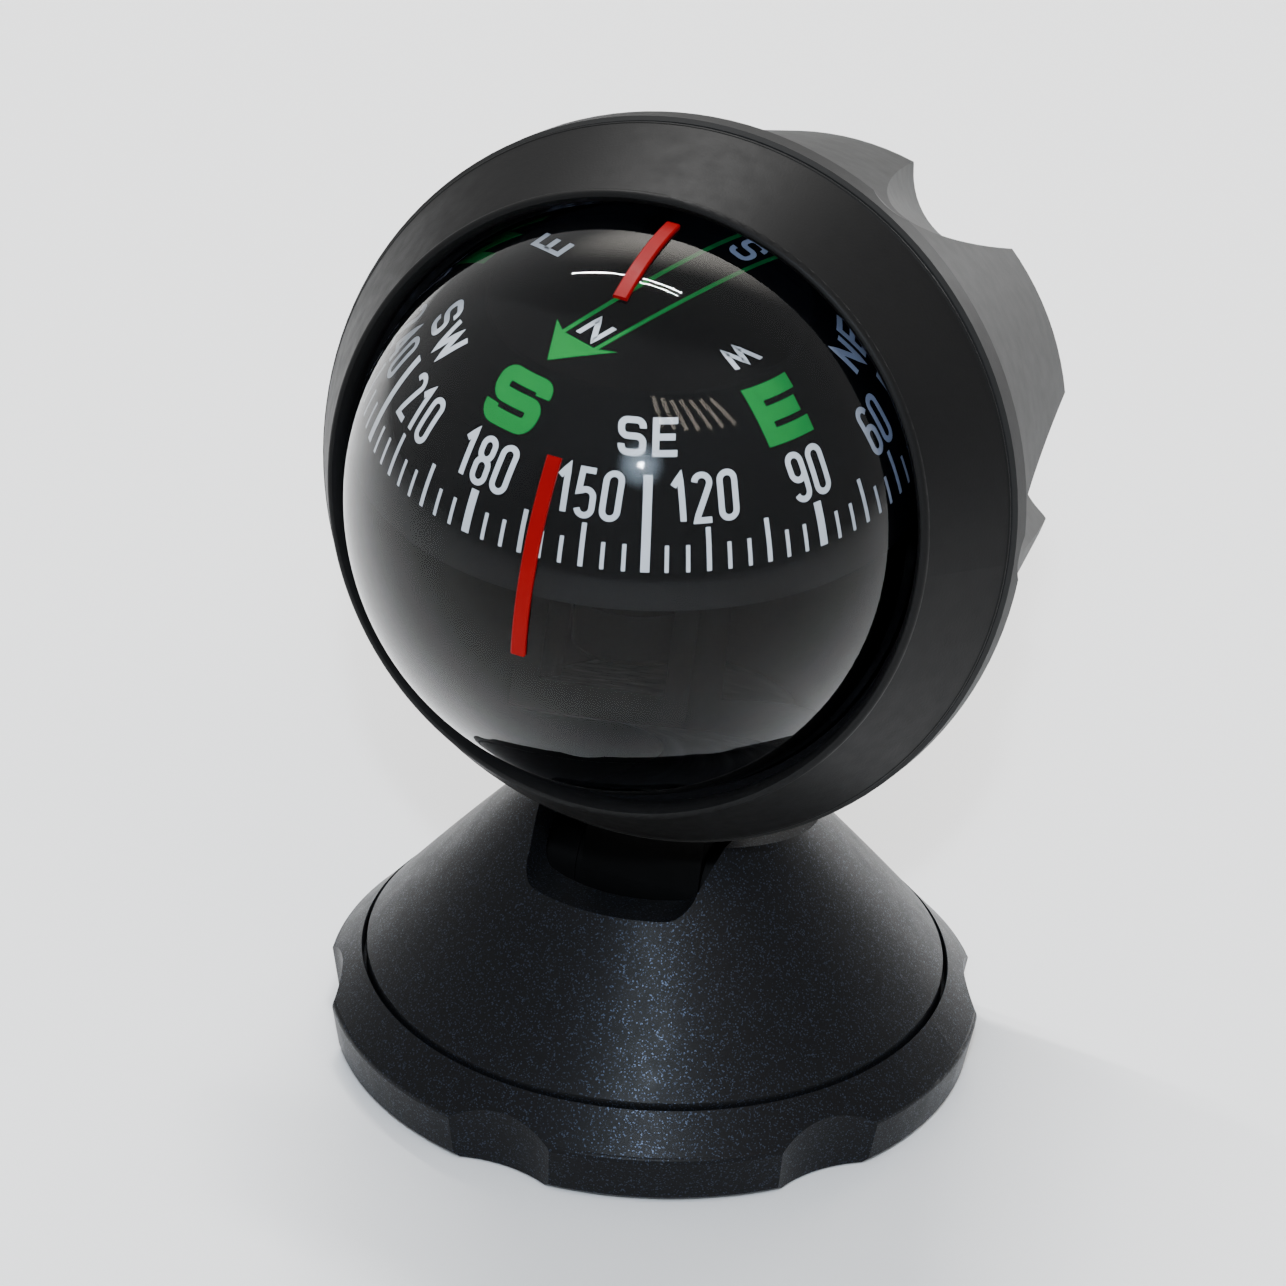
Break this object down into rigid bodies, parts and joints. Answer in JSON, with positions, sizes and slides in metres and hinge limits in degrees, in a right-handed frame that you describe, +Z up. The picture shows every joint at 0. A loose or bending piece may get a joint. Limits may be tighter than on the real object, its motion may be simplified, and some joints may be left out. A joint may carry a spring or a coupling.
{
  "type": "dashboard ball compass",
  "caption": "Liquid-filled ball compass with a domed direct-reading card in a tilting head on a swivelling cone stand, for a boat or vehicle dashboard.",
  "frame": {"origin": "centre of the adhesive pad's underside, on the swivel axis", "axes": "+Z up along the swivel axis, -Y the way the dome faces, +X to the viewer's right when facing the dome"},
  "size_m": [0.0552, 0.0629, 0.0765],
  "materials": {
    "black_gloss": "glossy",
    "black_matte": "matte",
    "black_metallic": "satin black with fine metallic sparkle",
    "black_satin": "satin, fine texture",
    "brass": "turned",
    "card_black": "matte with white and green print",
    "clear_dome": "polished clear acrylic",
    "jewel": "polished",
    "magnet": "dark ground",
    "pad_foam": "closed-cell foam",
    "red_paint": "gloss",
    "rubber_black": "matte",
    "steel": "brushed",
    "white_plastic": "matte"
  },
  "bodies": {
    "stand": {"base_ring": "black_metallic", "base_plate": "black_matte", "base_plate_screws": "steel", "adhesive_pad": "pad_foam", "swivel_thrust_washer": "white_plastic", "swivel_wave_washer": "steel", "swivel_cap_washer": "steel", "swivel_screw": "steel"},
    "turret": {"turret_cone": "black_metallic", "tilt_yoke": "black_matte", "yoke_screws": "steel", "tilt_axle": "steel", "axle_nut": "steel", "tilt_washers": "white_plastic"},
    "head": {"tilt_arm": "black_matte", "arm_screws": "steel", "rear_housing": "black_satin", "bezel": "black_satin", "retaining_ring": "black_gloss", "seal_ring": "rubber_black", "dome": "clear_dome", "lubber_line_lower": "red_paint", "lubber_line_upper": "red_paint", "ball_bowl": "black_matte", "fill_plug": "brass", "expansion_diaphragm": "rubber_black", "diaphragm_cap": "black_matte", "pivot_bracket": "black_matte", "rear_cover": "black_satin", "cover_screws": "steel"},
    "compensator_left": {"compensator_spindle_left": "brass", "compensator_magnet_left": "magnet"},
    "compensator_right": {"compensator_spindle_right": "brass", "compensator_magnet_right": "magnet"},
    "gimbal": {"gimbal_pin": "steel", "gimbal_weight": "black_matte", "pivot_needle": "steel"},
    "card": {"compass_card": "card_black", "magnet_carrier": "white_plastic", "card_magnets": "magnet", "jewel_cup": "jewel"}
  },
  "joints": [
    {"name": "base_swivel", "type": "hinge", "parent": "stand", "child": "turret", "pos_m": [0, 0, 0.006], "axis": [0, 0, 1], "continuous": true},
    {"name": "head_tilt", "type": "hinge", "parent": "turret", "child": "head", "pos_m": [0, 0, 0.0145], "axis": [1, 0, 0], "range_deg": [-20, 20]},
    {"name": "card_level", "type": "hinge", "parent": "head", "child": "gimbal", "pos_m": [0, -0.00773, 0.05067], "axis": [1, 0, 0], "range_deg": [-20, 20]},
    {"name": "card_turn", "type": "hinge", "parent": "gimbal", "child": "card", "pos_m": [0, -0.00773, 0.05067], "axis": [0, 0, 1], "continuous": true},
    {"name": "compensator_left_turn", "type": "hinge", "parent": "head", "child": "compensator_left", "pos_m": [-0.005, 0.02148, 0.04382], "axis": [0, 0.9736, -0.2284], "continuous": true},
    {"name": "compensator_right_turn", "type": "hinge", "parent": "head", "child": "compensator_right", "pos_m": [0.005, 0.02148, 0.04382], "axis": [0, 0.9736, -0.2284], "continuous": true}
  ],
  "couplings": [
    {"joint": "card_level", "follows": "head_tilt", "ratio": -1}
  ]
}
